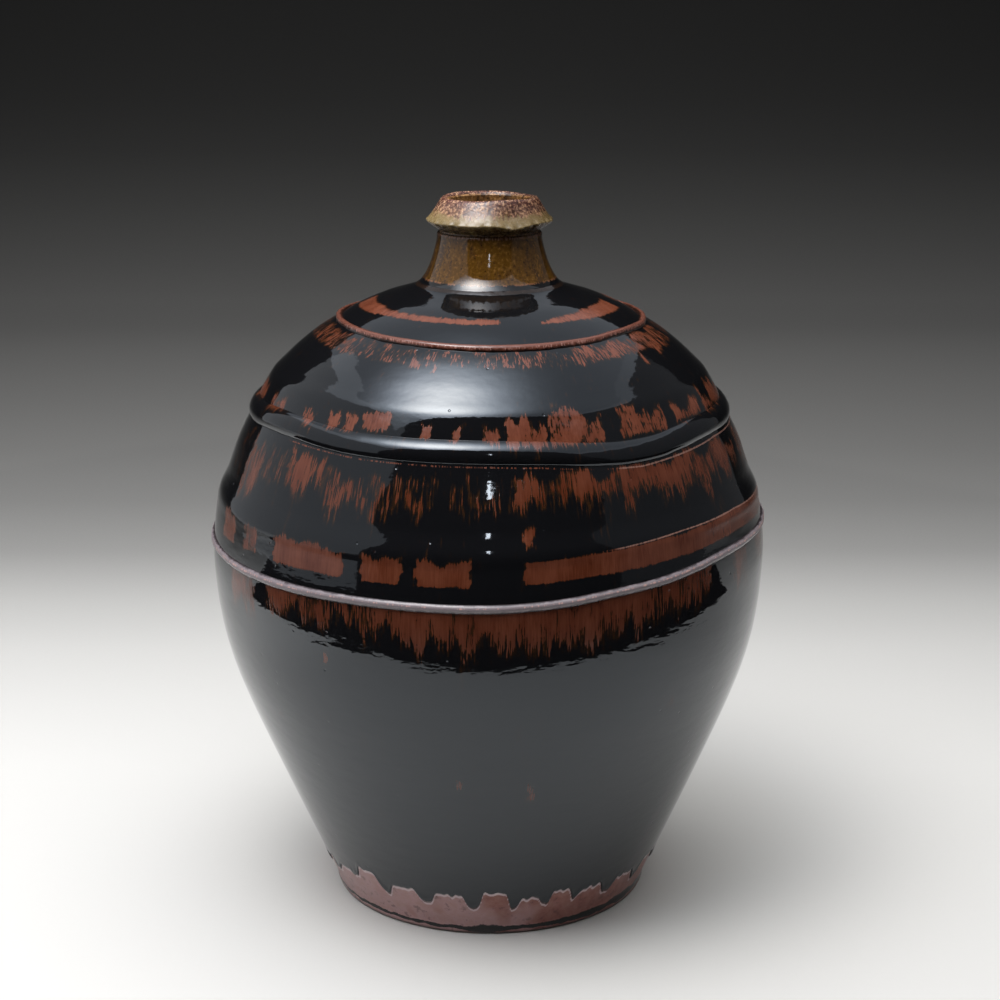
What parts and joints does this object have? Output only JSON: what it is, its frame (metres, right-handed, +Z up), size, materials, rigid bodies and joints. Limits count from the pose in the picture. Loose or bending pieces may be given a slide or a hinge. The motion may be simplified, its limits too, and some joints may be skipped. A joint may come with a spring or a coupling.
{
  "type": "sake bottle",
  "caption": "Wide wheel-thrown stoneware bottle with raised ridges, a domed shoulder, a short flaring neck and a conical collar, under a black and rust iron glaze.",
  "frame": {"origin": "centre of the foot, on the plane that the bottle stands on", "axes": "+Z up along the throwing axis towards the mouth; the bottle is round, so +X and +Y are free, and the side taken as the front faces -Y"},
  "size_m": [0.2357, 0.2356, 0.3],
  "materials": {
    "stoneware": "bare fired clay, matte and slightly gritty",
    "ridge_clay": "clay ridge that the glaze has run thin on, grey to mauve, glossy",
    "foot_wash": "thin iron wash, mauve-brown, satin",
    "black_glaze": "thick iron glaze, black breaking to rust where thin, high gloss",
    "amber_glaze": "translucent amber-brown glaze with fine tan specks, high gloss",
    "ash_glaze": "speckled straw and brown ash glaze, glossy with a rough speckle",
    "liner_glaze": "brown liner glaze, glossy"
  },
  "bodies": {
    "root": {"foot_ring": "stoneware", "floor_disc": "stoneware", "lower_wall": "stoneware", "waist_wall": "stoneware", "shoulder_dome": "stoneware", "shoulder_cap": "stoneware", "neck_tube": "stoneware", "mouth_collar": "stoneware", "belly_cordon": "ridge_clay", "edge_bead": "ridge_clay", "shoulder_cordon": "ridge_clay", "neck_fillet": "ridge_clay", "foot_wash": "foot_wash", "lower_glaze": "black_glaze", "waist_glaze": "black_glaze", "dome_glaze": "black_glaze", "cap_glaze": "black_glaze", "neck_glaze": "amber_glaze", "collar_glaze": "ash_glaze", "liner_glaze": "liner_glaze"}
  },
  "joints": []
}
